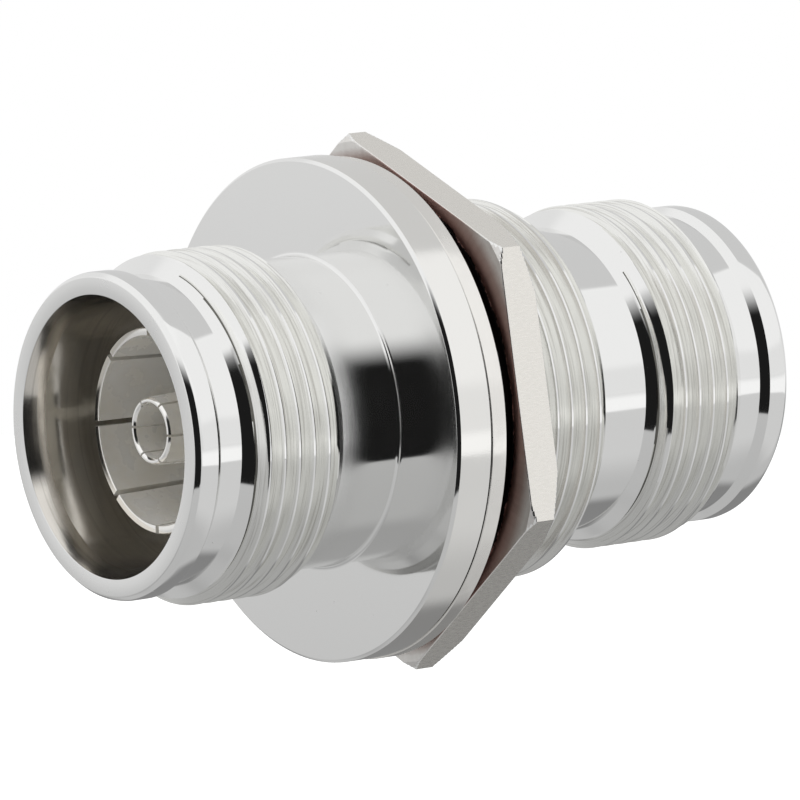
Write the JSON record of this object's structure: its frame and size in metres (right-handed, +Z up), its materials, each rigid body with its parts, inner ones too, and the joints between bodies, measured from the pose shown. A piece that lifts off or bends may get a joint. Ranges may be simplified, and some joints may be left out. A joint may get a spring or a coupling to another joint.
{
  "type": "bulkhead coaxial adapter",
  "caption": "Straight jack-to-jack coaxial adapter with coupling threads at both ends and a flanged, nutted panel thread.",
  "frame": {"origin": "on the axis, at the flange's rear face, which seats on the panel", "axes": "+Y along the axis towards the rear jack and the nut, -Y out of the front jack, +Z up"},
  "size_m": [0.0294, 0.0417, 0.0302],
  "materials": {
    "plated_brass": "satin",
    "plated_nut": "satin",
    "silver": "polished",
    "fluoropolymer": "matt",
    "seal_rubber": "matt"
  },
  "bodies": {
    "adapter": {"body": "plated_brass", "front_outer_contact": "silver", "rear_outer_contact": "silver", "front_centre_contact": "silver", "rear_centre_contact": "silver", "centre_rod": "silver", "front_bead": "fluoropolymer", "rear_bead": "fluoropolymer", "panel_seal": "seal_rubber"},
    "washer": {"flat_washer": "plated_nut"},
    "nut": {"hex_nut": "plated_nut"}
  },
  "joints": [
    {"name": "washer_slide", "type": "slide", "parent": "adapter", "child": "washer", "axis": [0, 1, 0], "range_m": [0, 0.0055]},
    {"name": "nut_turn", "type": "hinge", "parent": "washer", "child": "nut", "pos_m": [0, 0, 0], "axis": [0, 1, 0], "range_deg": [0, 1979]}
  ],
  "couplings": [
    {"joint": "washer_slide", "follows": "nut_turn", "m_per_rad": 0.00015915}
  ]
}
